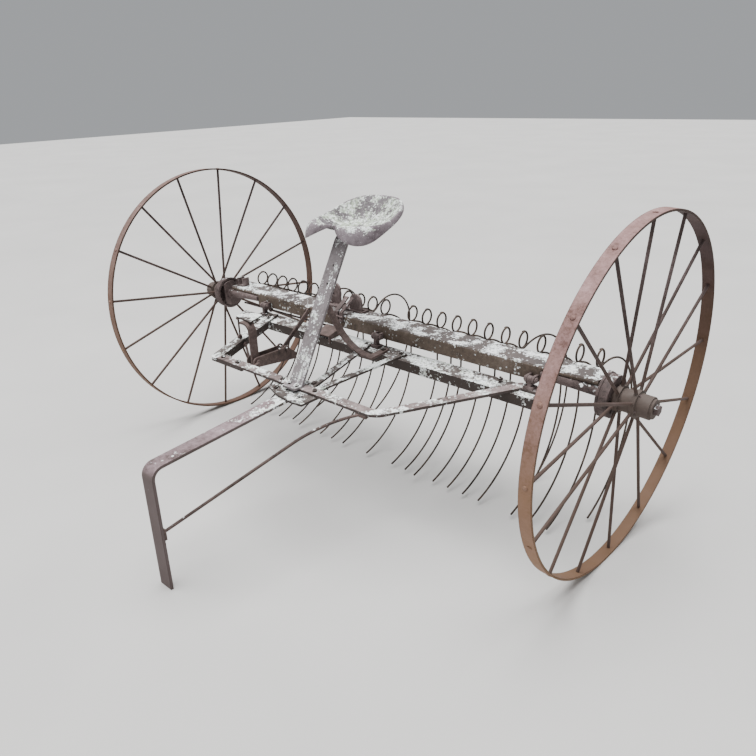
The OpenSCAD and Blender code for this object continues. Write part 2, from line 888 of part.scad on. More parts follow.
// castings and bars on the middle of the beam, and a small fork on its left end
module latch_castings() {
    color(rust) placed() {
        translate([0, 0, beam_z + seat_gap]) {
            translate([ear_x, 100, 0])
                along_y(12)
                    difference() {
                        union() {
                            translate([-34, 0])
                                square([68, 82]);
                            translate([0, 82])
                                circle(r = 34);
                        }
                        translate([-11, 58])
                            circle(d = bolt_d);
                    }
            translate([ear_x + 175, 70, 0])
                along_y(10) {
                    translate([-41, 0])
                        square([82, 52]);
                    translate([0, 52])
                        circle(r = 41);
                }
            translate([ear_x - 42, 58, 0])
                cube([266, 54, 8]);
            translate([2 - beam_half + 20, 20, 0])
                cube([50, 44, 8]);
            for (x = [20, 62])
                translate([2 - beam_half + x, 20, 0])
                    cube([8, 44, 48]);
        }
        for (b = latch_bars) {
            translate([b[0] - 12, -beam_fwd - seat_gap - 8, b[1]])
                cube([24, 8, beam_z + 12 - b[1]]);
            translate([b[0], -beam_fwd - seat_gap - 4, beam_z + 12])
                rotate([0, 90, 0])
                    cylinder(h = 24, d = 8.6, center = true);
            flat([b[0], -beam_fwd - seat_gap - 4, beam_z + 12], [b[0] + b[2], b[3], beam_z + b[4]], 24, 8);
        }
        translate([(latch_bars[0][0] + latch_bars[1][0]) / 2, -beam_fwd - seat_gap - 12, beam_z - 8])
            rotate([0, 90, 0])
                cylinder(h = 66, d = 10, center = true);
    }
}
// flat bars in front of the beam: place, lower end, sideways run, rear end's y and height over the beam
latch_bars = [[-229, 715, 23, 50, 77], [-264, 722, -16, 80, 63]];

// footrest, its hanger strap and rods, the foot lever and its link; lever_p is the lever's
// pivot and link_f the place of the link's lower pin, both as (y, z)
lever_p = [-lever_fwd, cross_z - lever_drop];
link_f = lever_p + [lever_reach, 14.5];
step_z = beam_z + step_up;
strap_z = step_z - step_t - seat_gap - strap_t / 2;
strap_x = link_x + 7;
module step_plate() {
    color(grey) placed()
        translate([0, 0, step_z - step_t])
            linear_extrude(height = step_t)
                polygon([[link_x - 131, -387], [link_x - 174, -293],
                    [link_x - 39, -297], [link_x + 4, -404]]);
}

module lever_hanger() {
    c = [strap_x - strap_r, strap_z - strap_r];
    eye = lever_w / 2 + lever_t + 7.5;
    foot = arm_foot + 360 * arm_d + (arm_side + 11) * arm_n;
    tip = [link_x - 175, -342, 6];
    color(rust) placed() {
        translate([0, -lever_fwd, 0])
            along_y(strap_w) {
                strip([c[0] - 30, strap_z], [c[0], strap_z], strap_t);
                bow(c, strap_r, strap_t, 0, 90);
                strip([strap_x, lever_p[1]], [strap_x, c[1]], strap_t);
            }
        translate([strap_x, lever_p[0], lever_p[1]])
            rotate([0, 90, 0])
                cylinder(h = strap_t, d = strap_w + 0.6, center = true);
        translate([link_x, lever_p[0], lever_p[1]])
            rotate([0, 90, 0]) {
                cylinder(h = 2 * eye + 12, d = lever_pin, center = true);
                for (s = [-1, 1])
                    translate([0, 0, s * eye])
                        cylinder(h = 8, r = 14, center = true);
            }
        // rod from the arm's side to the lever pin
        rod(pin_side(foot), [link_x - eye, lever_p[0], lever_p[1]], 12);
        in_frame()
            translate([foot[0], foot[1], -arm_lip / 2])
                rotate([0, 90, atan2(arm_n[1], arm_n[0])])
                    translate([0, 0, seat_gap - 7])
                        cylinder(h = 10, r = 13);
        // rod from the lever pin to the front bar
        rod([link_x + eye, lever_p[0], lever_p[1]], pin_front(-355), 10);
        in_frame()
            translate([-370, -front_y + 2, -13])
                cube([30, 20, 13]);
        // rod from the arm's top to the footrest
        rod([tip[0], out(tip[1], 0)[0], out(tip[1], 20)[1]], [link_x - 124, -382, step_z - step_t - 4], 9);
        in_frame()
            translate([tip[0] - frame_off, tip[1], bar_t + 2 * seat_gap])
                cylinder(h = 14, r = 12);
        translate([link_x - 124, -382, step_z - step_t - seat_gap - 7])
            cylinder(h = 7, r = 11);
    }
}

// rod ends in the object's own frame: on the arm's side, and under the front bar
function pin_side(p) = [p[0] + frame_off, out(p[1], -arm_lip / 2)[0], out(p[1], -arm_lip / 2)[1]];
function pin_front(x) = [x + frame_off, out(-front_y + 12, -7)[0], out(-front_y + 12, -7)[1]];

module foot_lever() {
    lo = [lever_p[0], lever_p[1] - lever_h / 2];
    tail = link_f + [60, -65];
    color(rust) placed()
        translate([link_x, 0, 0]) {
            for (s = [-1, 1])
                translate([s * (lever_w + lever_t) / 2, 0, 0])
                    along_x(lever_t)
                        difference() {
                            union() {
                                translate(lever_p)
                                    circle(d = lever_h);
                                translate(link_f)
                                    circle(r = 20);
                                polygon([[lever_p[0], lever_p[1] + lever_h / 2],
                                    [link_f[0], link_f[1] + 12], tail + [0, 35], tail, lo]);
                            }
                            translate(lever_p)
                                circle(d = lever_pin + 2 * run_gap);
                            translate(link_f)
                                circle(d = link_pin_d + 2 * link_play);
                        }
            along_x(lever_w + lever_t)
                intersection() {
                    strip(lo + [0, lever_t / 2], tail + [0, lever_t / 2], lever_t);
                    translate([lever_p[0] + 30, 0])
                        square([lever_reach, beyond]);
                }
        }
}

module drop_link() {
    color(rust) placed()
        translate([link_x, 0, 0])
            difference() {
                union() {
                    along_x(8) {
                        strip(link_f, link_pin, 22);
                        translate(link_pin)
                            circle(r = 14);
                        translate(link_f)
                            circle(r = 11.2);
                    }
                    translate([0, link_f[0], link_f[1]])
                        rotate([0, 90, 0])
                            cylinder(h = lever_w + 2 * lever_t + 6, d = link_pin_d, center = true);
                }
                translate([0, link_pin[0], link_pin[1]])
                    rotate([0, 90, 0])
                        cylinder(h = 40, d = link_pin_d + 2 * run_gap, center = true);
            }
}

trip_c = [0, seat_gap + trip_t / 2 + trip_r];
module trip_arm() {
    up = 270 - trip_turn;
    color(rust) placed()
        in_frame()
            translate([trip_x, -trip_y, 0]) {
                along_y(trip_w) {
                    bow(trip_c, trip_r, trip_t, up, 270);
                    strip([0, seat_gap + trip_t / 2], [trip_w / 2, seat_gap + trip_t / 2], trip_t);
                    translate(trip_c + trip_r * [cos(up), sin(up)])
                        rotate(up - 90) {
                            circle(d = trip_t + 0.3);
                            translate([0, -trip_t / 2])
                                square([trip_len, trip_t]);
                        }
                }
                translate([-trip_w / 2, -trip_w / 2, seat_gap])
                    cube([trip_w, trip_y - 20, trip_t]);
            }
}

module rest_bracket() {
    x = rest_x - frame_off;
    color(rust) placed()
        in_frame() {
            for (s = [-1, 1])
                translate([x + s * (rest_w - rest_t) / 2, 0, 0])
                    along_x(rest_t)
                        polygon([[-14, seat_gap], [-cross_dep - seat_gap, seat_gap],
                            [-cross_dep - seat_gap, -20], [-cross_dep - 8, -20],
                            [-cross_dep - 8, rest_h - 16], [-14, rest_h]]);
            translate([x, 0, 0])
                along_x(rest_w)
                    polygon([[-14, rest_h - rest_t], [-cross_dep - 8, rest_h - 16 - rest_t],
                        [-cross_dep - 8, rest_h - 16], [-14, rest_h]]);
        }
}

crossbar();
frame_hoop();
left_arm();
corner_splice();
brace_left();
brace_right();
gusset();
tongue();
brace_rod();
seat_post();
seat_pan();
hinge_eyes();
step_plate();
lever_hanger();
foot_lever();
drop_link();
trip_arm();
rest_bracket();
head_beam();
hinge_forks();
spindle_left();
spindle_right();
tooth_clips();
teeth_a();
teeth_b();
teeth_c();
teeth_d();
pawl_left();
pawl_right();
trip_rod();
latch_castings();
rim_left();
rim_right();
spokes_left();
spokes_right();
drum_left();
drum_right();
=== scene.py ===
"""Looks of the sulky dump rake: weathered steel, lichen, rivets, bolts and the pressed seat."""

import math

import bmesh
import bpy
from mathutils import Matrix, Vector


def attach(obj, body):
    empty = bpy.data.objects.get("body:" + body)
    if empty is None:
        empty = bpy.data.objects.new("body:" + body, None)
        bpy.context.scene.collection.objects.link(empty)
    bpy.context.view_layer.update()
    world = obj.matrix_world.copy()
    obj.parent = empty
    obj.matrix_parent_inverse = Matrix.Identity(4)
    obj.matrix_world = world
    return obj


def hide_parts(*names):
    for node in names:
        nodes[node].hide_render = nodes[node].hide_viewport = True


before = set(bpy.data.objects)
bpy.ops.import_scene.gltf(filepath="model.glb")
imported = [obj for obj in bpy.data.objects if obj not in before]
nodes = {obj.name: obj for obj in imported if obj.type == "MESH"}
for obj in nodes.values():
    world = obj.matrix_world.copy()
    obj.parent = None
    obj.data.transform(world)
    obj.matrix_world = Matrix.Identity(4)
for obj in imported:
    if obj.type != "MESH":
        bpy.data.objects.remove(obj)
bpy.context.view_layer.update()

# Sizes of the wheels and the rake head, in metres and radians

MM = 0.001
CAMBER = math.radians(3)
WHEEL_R = 0.700
RIM_W = 0.048
TRACK = 2.536
SPOKES = 16
FIRST_SPOKE = {-1: math.radians(82.3), 1: math.radians(71.3)}
HUB_RING_FACE = 0.0405
HUB_BOLTS = 4
HUB_BOLT_CIRCLE = 0.041
HUB_BOLT_TURN = math.radians(20)
HUB_Z = WHEEL_R * math.cos(CAMBER) + RIM_W / 2 * math.sin(CAMBER)
BEAM_Z = HUB_Z + 0.050
BEAM_FRONT_Y = -0.010
HINGE_X = 0.845
HINGE_NUT_X = 0.0214
HINGE_PIN_Y = -0.038
HINGE_PIN_Z = BEAM_Z - 0.052
CASTING_T = 0.008

# Sizes of the draft frame, in millimetres from the rear edge of its crossbar's top

LEAN = math.radians(4.75)
FRAME_X = 30
CROSS_Y = -5
CROSS_Z = BEAM_Z / MM - 100.3
SEAT_GAP = 0.3
FRONT_Y = -539
BAR_T = 12
BRACE_T = 10
GUSSET_T = 10
POST_T = 10
TONGUE_T = 12
TONGUE_Y = -1290
LEG_R = 46

# Sizes of the seat, in millimetres

SEAT_Y = -135
SEAT_Z = BEAM_Z / MM + 469
SEAT_R = 200
SEAT_T = 4
SEAT_FLAP = 34
SEAT_NOTCH = 55
SEAT_DROOP = 50
SEAT_DISH = 42
SEAT_BACK = 76
DISH_POWER = 2.6
ROLL_MIN = SEAT_T + 2

# Camera, fitted to the photograph: degrees, metres from the axle line and pixels

CAMERA_TURN = 43.70
CAMERA_DOWN = 22.50
CAMERA_ROLL = -2.00
CAMERA_PLACE = (2.241, -2.351, 1.810)
FOCAL_PX = 710.22
PHOTO_PX = 756
SENSOR_MM = 36


# Places

def leaning(y, z):
    """The (y, z) from the axle line of a place on the leaning frame, all in millimetres."""
    level = CROSS_Y + y * math.cos(LEAN) - z * math.sin(LEAN)
    return level, CROSS_Z + y * math.sin(LEAN) + z * math.cos(LEAN)


LEG_Y = leaning(TONGUE_Y + LEG_R, -GUSSET_T - SEAT_GAP - TONGUE_T / 2 - LEG_R)[0]
MID_Y = (LEG_R + TONGUE_T / 2 - LEG_Y) / 2 * MM - WHEEL_R / 2
UP_FRAME = Vector((0, -math.sin(LEAN), math.cos(LEAN)))


def from_axle(x, y, z):
    """A place measured from the axle line, in metres."""
    return Vector((x, y + MID_Y, z))


def on_frame(x, y, z):
    """A place on the draft frame, in millimetres, as one in metres."""
    level, height = leaning(y, z)
    return from_axle((FRAME_X + x) * MM, level * MM, height * MM)


def on_seat(x, y, z):
    """A place measured from the middle of the seat's underside, in millimetres, as one in metres."""
    return from_axle((FRAME_X + x) * MM, (SEAT_Y + y) * MM, (SEAT_Z + z) * MM)


def camber_turn(side):
    """The turn that leans the top of a wheel outwards; side is -1 for left and 1 for right."""
    return Matrix.Rotation(side * CAMBER, 3, "Y")


def on_wheel(side, x, radius, angle):
    """A place on a leaning wheel: x along its spindle, angle in radians from +Y towards +Z."""
    flat = Vector((x, radius * math.cos(angle), radius * math.sin(angle)))
    return camber_turn(side) @ flat + from_axle(side * TRACK / 2, 0, HUB_Z)


# Camera and light

def set_camera():
    turn, down, roll = (math.radians(a) for a in (CAMERA_TURN, CAMERA_DOWN, CAMERA_ROLL))
    level = Vector((math.cos(turn), math.sin(turn), 0))
    back = Vector((math.sin(turn) * math.cos(down), -math.cos(turn) * math.cos(down), math.sin(down)))
    upright = back.cross(level)
    right = level * math.cos(roll) + upright * math.sin(roll)
    up = upright * math.cos(roll) - level * math.sin(roll)
    data = bpy.data.cameras.new("camera")
    data.sensor_width = SENSOR_MM
    data.lens = FOCAL_PX * SENSOR_MM / PHOTO_PX
    camera = bpy.data.objects.new("camera", data)
    place = from_axle(*CAMERA_PLACE)
    camera.matrix_world = Matrix((
        (right.x, up.x, back.x, place.x),
        (right.y, up.y, back.y, place.y),
        (right.z, up.z, back.z, place.z),
        (0, 0, 0, 1)))
    bpy.context.scene.collection.objects.link(camera)
    bpy.context.scene.camera = camera


def add_lamp(name, kind, power, place, aim):
    """A lamp at place, turned to aim; returns its data."""
    data = bpy.data.lights.new(name, kind)
    data.energy = power
    lamp = bpy.data.objects.new(name, data)
    lamp.location = place
    lamp.rotation_euler = (Vector(aim) - Vector(place)).to_track_quat("-Z", "Y").to_euler()
    bpy.context.scene.collection.objects.link(lamp)
    return data


def set_light():
    """A broad soft sky overhead, a weak soft lamp from the front left and a pale fill."""
    world = bpy.data.worlds.new("soft studio")
    world.use_nodes = True
    fill = world.node_tree.nodes["Background"].inputs
    fill["Color"].default_value = (0.93, 0.96, 1.0, 1)
    fill["Strength"].default_value = 0.42
    bpy.context.scene.world = world
    sky = add_lamp("sky", "SUN", 7.0, (0, 0, 5), (0.3, 0, 0))
    sky.angle = math.radians(56)
    key = add_lamp("key", "AREA", 80, (-3.2, -3.6, 4.5), (0, 0, 0.6))
    key.shape = "DISK"
    key.size = 2.6


# Node helpers

class Net:
    """Adds nodes to a tree and links them by name."""

    def __init__(self, tree):
        self.tree = tree

    def feed(self, socket, value):
        """Links an output to the socket, or sets a plain value on it."""
        if hasattr(value, "is_output"):
            self.tree.links.new(value, socket)
        else:
            socket.default_value = value

    def put(self, kind, inputs=None, **settings):
        """A new node of the kind, with its settings made and its inputs fed."""
        node = self.tree.nodes.new(kind)
        for key, value in settings.items():
            setattr(node, key, value)
        for key, value in (inputs or {}).items():
            self.feed(node.inputs[key], value)
        return node

    def place_group(self, tree, **inputs):
        """The outputs of a group node whose inputs are fed by name."""
        return self.put("ShaderNodeGroup", inputs, node_tree=tree).outputs

    def calc(self, operation, a, b=0.0, c=0.0, clamp=False):
        node = self.put("ShaderNodeMath", {0: a, 1: b, 2: c}, operation=operation, use_clamp=clamp)
        return node.outputs[0]

    def times(self, a, b):
        return self.calc("MULTIPLY", a, b)

    def times_plus(self, a, b, c):
        """a times b, plus c."""
        return self.calc("MULTIPLY_ADD", a, b, c)

    def minus(self, a, b):
        return self.calc("SUBTRACT", a, b)

    def vector(self, operation, a, b=(0, 0, 0)):
        """The outputs of a vector operation, Vector and Value."""
        return self.put("ShaderNodeVectorMath", {0: a, 1: b}, operation=operation).outputs

    def axis(self, vector, letter):
        """The X, Y or Z of a vector."""
        return self.put("ShaderNodeSeparateXYZ", {0: vector}).outputs[letter]

    def noise(self, place, scale, detail, rough=0.55, distort=0.0):
        node = self.put("ShaderNodeTexNoise", {"Vector": place, "Scale": scale, "Detail": detail,
                                               "Roughness": rough, "Distortion": distort})
        return node.outputs["Fac"]

    def step(self, value, start, end, low=0.0, high=1.0, smooth=True):
        """Low up to start and high from end on, with a slope between them; start may be over end."""
        node = self.put("ShaderNodeMapRange", {"Value": value, "From Min": start, "From Max": end,
                                               "To Min": low, "To Max": high})
        node.interpolation_type = "SMOOTHSTEP" if smooth else "LINEAR"
        return node.outputs["Result"]

    def blend(self, share, a, b):
        """Colour a where the share is 0, and b where it is 1."""
        node = self.put("ShaderNodeMix", data_type="RGBA")
        for key, value in (("Factor", share), ("A", a), ("B", b)):
            self.feed(enabled(node.inputs, key), value)
        return enabled(node.outputs, "Result")

    def ramp(self, value, stops):
        """Colour stops as (position, colour)."""
        node = self.put("ShaderNodeValToRGB", {"Fac": value})
        elements = node.color_ramp.elements
        while len(elements) < len(stops):
            elements.new(0.5)
        for element, (position, colour) in zip(elements, stops):
            element.position = position
            element.color = (*colour, 1)
        return node.outputs["Color"]


def enabled(sockets, name):
    """The socket of that name that the node's own settings leave in use."""
    return [s for s in sockets if s.name == name and s.enabled][0]


def group(name, ins, outs):
    """A new shader group, as its net, inputs and outputs; ins are {name: (kind, default)}."""
    tree = bpy.data.node_groups.new(name, "ShaderNodeTree")
    for key, (kind, default) in ins.items():
        socket = tree.interface.new_socket(key, in_out="INPUT", socket_type="NodeSocket" + kind)
        if default is not None:
            socket.default_value = default
    for key, kind in outs.items():
        tree.interface.new_socket(key, in_out="OUTPUT", socket_type="NodeSocket" + kind)
    net = Net(tree)
    return net, net.put("NodeGroupInput").outputs, net.put("NodeGroupOutput").inputs


def grained(net, i, scale, detail, rough, distort=0.0):
    """Noise at the group's place, with its scale times the group's grain."""
    return net.noise(i["Place"], net.times(i["Grain"], scale), detail, rough, distort)


# Effects that the finishes share

STAIN_SHARE = 0.42
FLAKE_SHARE = 0.42
FINE_SHARE = 0.20
MIDDLE_AGE = (0.40, 0.52)
PALE_AGE = (0.50, 0.66)


def make_rust_skin():
    """Layered rust: broad stains, flaky blotches and fine grain between three tones."""
    net, i, o = group("rust_skin", {
        "Place": ("Vector", None), "Deep": ("Color", (0.05, 0.03, 0.025, 1)),
        "Middle": ("Color", (0.16, 0.10, 0.08, 1)), "Pale": ("Color", (0.36, 0.27, 0.23, 1)),
        "Grain": ("Float", 1.0)},
        {"Colour": "Color", "Roughness": "Float", "Height": "Float"})
    stain = grained(net, i, 5.0, 3, 0.6)
    flake = grained(net, i, 46.0, 8, 0.68, 0.4)
    fine = grained(net, i, 330.0, 3, 0.6)
    age = net.times_plus(stain, STAIN_SHARE, net.times(flake, FLAKE_SHARE))
    age = net.times_plus(fine, FINE_SHARE, age)
    tone = net.blend(net.step(age, *MIDDLE_AGE), i["Deep"], i["Middle"])
    tone = net.blend(net.step(age, *PALE_AGE), tone, i["Pale"])
    net.feed(o["Colour"], tone)
    net.feed(o["Roughness"], net.step(flake, 0.3, 0.7, 0.66, 0.92, smooth=False))
    net.feed(o["Height"], net.times_plus(fine, 0.35, net.times(flake, 0.65)))
    return net.tree


LICHEN_TONES = [(0.38, (0.95, 0.97, 0.99)), (0.5, (0.86, 0.90, 0.85)), (0.60, (0.42, 0.48, 0.37))]
LICHEN_SHADE = (0.24, 0.26, 0.23, 1)
LICHEN_GAP = (0.085, 0.085, 0.075, 1)
COVER_SHARE = 0.34
UPWARD_SHARE = 0.05
PATCH_GROWTH = (0.757, 0.783)
DOT_GROWTH = (0.665, 0.715)
DOT_RIM = (0.30, 0.24)
GAP_RIM = (0.48, 0.40)
GAP_DEPTH = 0.72


def make_lichen():
    """Crusts of pale lichen: crisp patches with ragged edges and specks, thickest on what faces up."""
    net, i, o = group("lichen_crust", {
        "Place": ("Vector", None), "Upward": ("Float", 0.0), "Cover": ("Float", 0.5),
        "Grain": ("Float", 1.0), "Green": ("Float", 0.4)},
        {"Mask": "Float", "Colour": "Color", "Height": "Float"})
    broad = grained(net, i, 8.0, 2, 0.5)
    ragged = grained(net, i, 52.0, 7, 0.72, 0.5)
    fine = grained(net, i, 210.0, 3, 0.6)
    growth = net.times_plus(broad, 0.56, net.times(ragged, 0.46))
    growth = net.times_plus(i["Upward"], UPWARD_SHARE, growth)
    growth = net.times_plus(i["Cover"], COVER_SHARE, growth)
    patch = net.step(growth, *PATCH_GROWTH)
    cells = net.put("ShaderNodeTexVoronoi", {"Vector": i["Place"], "Randomness": 1.0,
                                             "Scale": net.times(i["Grain"], 30.0)}).outputs["Distance"]
    dots = net.times(net.step(cells, *DOT_RIM), net.step(growth, *DOT_GROWTH))
    mask = net.calc("MAXIMUM", patch, dots)
    green = net.calc("ADD", grained(net, i, 34.0, 4, 0.65), net.times_plus(i["Green"], 0.3, -0.15))
    colour = net.ramp(green, LICHEN_TONES)
    colour = net.blend(net.step(fine, 0.35, 0.60, 0.55, 0.0), colour, LICHEN_SHADE)
    gaps = net.step(grained(net, i, 38.0, 4, 0.65), *GAP_RIM, 0.0, GAP_DEPTH)
    colour = net.blend(gaps, colour, LICHEN_GAP)
    net.feed(o["Mask"], mask)
    net.feed(o["Colour"], colour)
    net.feed(o["Height"], net.times(mask, net.times_plus(fine, 0.7, 0.5)))
    return net.tree


def make_creases():
    """Mask of two pressed folds round the front of the seat's dish, broken and uneven, along which shade is
    painted.
    """
    net, i, o = group("press_creases", {
        "Place": ("Vector", None), "First": ("Float", 0.104), "Pitch": ("Float", 0.017),
        "Folds": ("Float", 2.0)},
        {"Mask": "Float"})
    middle = from_axle(FRAME_X * MM, SEAT_Y * MM, 0)
    flat = net.vector("SUBTRACT", i["Place"], tuple(middle))["Vector"]
    x, y = net.axis(flat, "X"), net.axis(flat, "Y")
    radius = net.calc("SQRT", net.times_plus(x, x, net.times(y, y)))
    wobble = net.times_plus(net.noise(i["Place"], 16, 3), 0.024, -0.012)
    turn = net.calc("DIVIDE", net.calc("ADD", wobble, net.minus(radius, i["First"])), i["Pitch"])
    off_line = net.calc("ABSOLUTE", net.minus(net.calc("FRACT", turn), 0.5))
    line = net.step(off_line, 0.18, 0.09)
    band = net.times(net.calc("GREATER_THAN", turn, 0.0), net.calc("LESS_THAN", turn, i["Folds"]))
    front = net.step(net.calc("DIVIDE", y, net.calc("MAXIMUM", radius, 0.01)), -0.55, -0.85)
    broken = net.step(net.noise(i["Place"], 28, 3), 0.42, 0.50)
    net.feed(o["Mask"], net.times(net.times(line, band), net.times(front, broken)))
    return net.tree


def make_edge_wear_and_glint():
    """Mask of the solid's edges, where handling and frost have rubbed them, and their soft normal; a pale
    edge tone paints a highlight along them.
    """
    net, i, o = group("edge_wear_and_glint", {
        "Place": ("Vector", None), "Width": ("Float", 0.002), "Amount": ("Float", 0.6)},
        {"Mask": "Float", "Normal": "Vector"})
    soft = net.put("ShaderNodeBevel", {"Radius": i["Width"]}, samples=4).outputs["Normal"]
    plain = net.put("ShaderNodeNewGeometry").outputs["Normal"]
    likeness = net.vector("DOT_PRODUCT", soft, plain)["Value"]
    edge = net.step(net.times_plus(net.noise(i["Place"], 90.0, 4, 0.6), 0.06, likeness), 1.015, 0.93)
    net.feed(o["Mask"], net.calc("MULTIPLY", edge, i["Amount"], clamp=True))
    net.feed(o["Normal"], soft)
    return net.tree


SIDE_FACING = 0.7


def make_wheel_zones():
    """Masks of a tyre's inner face and side faces and of the hub, by distance from the axle line."""
    net, i, o = group("wheel_zones", {
        "Place": ("Vector", None), "Normal": ("Vector", None), "Inner radius": ("Float", 0.695),
        "Hub radius": ("Float", 0.062)},
        {"Inside": "Float", "Side": "Float", "Hub": "Float"})
    from_hub = net.vector("SUBTRACT", i["Place"], tuple(from_axle(0, 0, HUB_Z)))["Vector"]
    flat = net.vector("MULTIPLY", from_hub, (0, 1, 1))["Vector"]
    radius = net.vector("LENGTH", flat)["Value"]
    net.feed(o["Inside"], net.calc("LESS_THAN", radius, i["Inner radius"]))
    net.feed(o["Hub"], net.calc("LESS_THAN", radius, i["Hub radius"]))
    across = net.calc("ABSOLUTE", net.axis(i["Normal"], "X"))
    net.feed(o["Side"], net.calc("GREATER_THAN", across, SIDE_FACING))
    return net.tree


RUST_SKIN = make_rust_skin()
LICHEN = make_lichen()
CREASES = make_creases()
EDGE_WEAR_AND_GLINT = make_edge_wear_and_glint()
WHEEL_ZONES = make_wheel_zones()

# Steps of a finish, and the values that all finishes share

METAL_SHARE = 0.77
TOP_FACING = (0.25, 0.85)
TOP_SHARE = 0.70
# Painted shade on faces that don't face up: where it starts and how strong it is.
FLANK_SHADE_FACING = (0.62, 0.30)
FLANK_SHADE_SHARE = 0.82
ZONE_SHARE = 0.85
LOW_HEIGHT = (1.25, 0.45)
LOW_SHARE = 0.80
LOW_MOST = 0.95
LOW_PATCHES = 0.5
TYRE_INSIDE_LESS = 0.45
CRUST_FACING = (-0.2, 0.9)
CRUST_ROUGHNESS = 0.95
CRUST_RELIEF = 1.2
RELIEF = 0.0016
# Painted shade along the seat's pressed folds, and how strong it is.
PAINTED_FOLD_SHADE = (0.03, 0.022, 0.02, 1)
FOLD_SHADE_SHARE = 0.85


def dim(tone):
    """A tone of bare or rusty metal, under the bright sky that the lichen needs."""
    return (*(METAL_SHARE * c for c in tone), 1)


def facing_tones_and_shade(net, up, colour, top_tone, flank_shade):
    """Greys what faces up, and paints shade on what doesn't face up."""
    if top_tone:
        colour = net.blend(net.step(up, *TOP_FACING, 0.0, TOP_SHARE), colour, dim(top_tone))
    # Painted shade: a darker tone on faces that don't face up.
    if flank_shade:
        shade = net.blend(FLANK_SHADE_SHARE, colour, dim(flank_shade))
        colour = net.blend(net.step(up, *FLANK_SHADE_FACING), colour, shade)
    return colour


def wheel_tones(net, zones, colour, tones):
    """Gives the wheel zones their own tones, with some of the skin's grain left in; the inner face's tone is
    painted shade.
    """
    for zone, tone in tones.items():
        if tone:
            grainy = net.blend(ZONE_SHARE, colour, dim(tone))
            colour = net.blend(zones[zone], colour, grainy)
    return colour


def ground_tone(net, place, colour, low_tone, inner_shade):
    """Browns what is near the ground, and less where inner_shade, the mask of a tyre's painted inner shade
    or None, is over 0.
    """
    patches = net.times_plus(net.noise(place, 7, 3), LOW_PATCHES, -LOW_PATCHES / 2)
    near = net.step(net.axis(place, "Z"), *LOW_HEIGHT, 0.0, LOW_MOST)
    near = net.calc("ADD", near, patches, clamp=True)
    if inner_shade is not None:
        near = net.times(near, net.times_plus(inner_shade, -TYRE_INSIDE_LESS, 1.0))
    return net.blend(near, colour, net.blend(LOW_SHARE, colour, dim(low_tone)))


def lichen_cover(net, place, lichen, crowd):
    """The cover as a value, or thicker along an axis as crowd says."""
    if not crowd:
        return lichen
    letter, start, end, more = crowd
    return net.step(net.axis(place, letter), start, end, lichen, lichen + more)


def finish(name, deep, middle, pale, grain=1.0, bump=0.5, edge=0.0, edge_tone=(0.05, 0.035, 0.03),
           edge_width=0.002, lichen=0.0, green=0.2, lichen_grain=1.0, crowd=None, top_tone=None, flank_shade=None,
           low_tone=None, inner_shade=None, side=None, hub=None, fold_shade=False):
    """A weathered steel or cast finish: rust skin, rubbed edges (a painted highlight where the edge tone is
    pale) and, where lichen is over 0, its crusts.

    top_tone is for what faces up, flank_shade is painted shade on what doesn't face up, and low_tone for
    what is near the ground.
    inner_shade, side and hub are tones of a wheel's zones; inner_shade is painted shade on a tyre's inner
    face. crowd is (axis, start, end, more): lichen that thickens by more from start to end, in metres.
    fold_shade paints shade along the seat's pressed folds."""
    mat = bpy.data.materials.new(name)
    mat.use_nodes = True
    mat.node_tree.nodes.clear()
    net = Net(mat.node_tree)
    coord = net.put("ShaderNodeTexCoord").outputs
    place = coord["Object"]
    up = net.axis(coord["Normal"], "Z")
    skin = net.place_group(RUST_SKIN, Place=place, Deep=dim(deep), Middle=dim(middle), Pale=dim(pale),
                           Grain=grain)
    colour, rough, height = skin["Colour"], skin["Roughness"], skin["Height"]
    colour = facing_tones_and_shade(net, up, colour, top_tone, flank_shade)
    tyre_mask = None
    # The tyre's inner face gets a very dark tone: painted shade.
    if inner_shade or side or hub:
        zones = net.place_group(WHEEL_ZONES, Place=place, Normal=coord["Normal"])
        colour = wheel_tones(net, zones, colour, {"Inside": inner_shade, "Side": side, "Hub": hub})
        tyre_mask = zones["Inside"] if inner_shade else None
    if low_tone:
        colour = ground_tone(net, place, colour, low_tone, tyre_mask)
    # Edges: a dark edge tone is rubbed wear, a pale one is a painted highlight.
    edge_wear_glint = net.place_group(EDGE_WEAR_AND_GLINT, Place=place, Amount=edge, Width=edge_width)
    colour = net.blend(edge_wear_glint["Mask"], colour, dim(edge_tone))
    if lichen > 0:
        upward = net.step(up, *CRUST_FACING, -1.0, 1.0)
        cover = lichen_cover(net, place, lichen, crowd)
        crust = net.place_group(LICHEN, Place=place, Upward=upward, Cover=cover, Green=green,
                                Grain=lichen_grain)
        colour = net.blend(crust["Mask"], colour, crust["Colour"])
        rough = net.calc("MAXIMUM", rough, net.times(crust["Mask"], CRUST_ROUGHNESS))
        height = net.times_plus(crust["Height"], CRUST_RELIEF, height)
    # Painted shade: dark lines along the seat's pressed folds.
    if fold_shade:
        folds = net.place_group(CREASES, Place=place)
        colour = net.blend(net.times(folds["Mask"], FOLD_SHADE_SHARE), colour, PAINTED_FOLD_SHADE)
    bumped = net.put("ShaderNodeBump", {"Height": height, "Normal": edge_wear_glint["Normal"], "Strength": bump,
                                        "Distance": RELIEF})
    shader = net.put("ShaderNodeBsdfPrincipled", {"Base Color": colour, "Roughness": rough,
                                                  "Normal": bumped.outputs["Normal"],
                                                  "Specular IOR Level": 0.35})
    net.put("ShaderNodeOutputMaterial", {"Surface": shader.outputs[0]})
    return mat


# Finishes, each with its deep, middle and pale tone

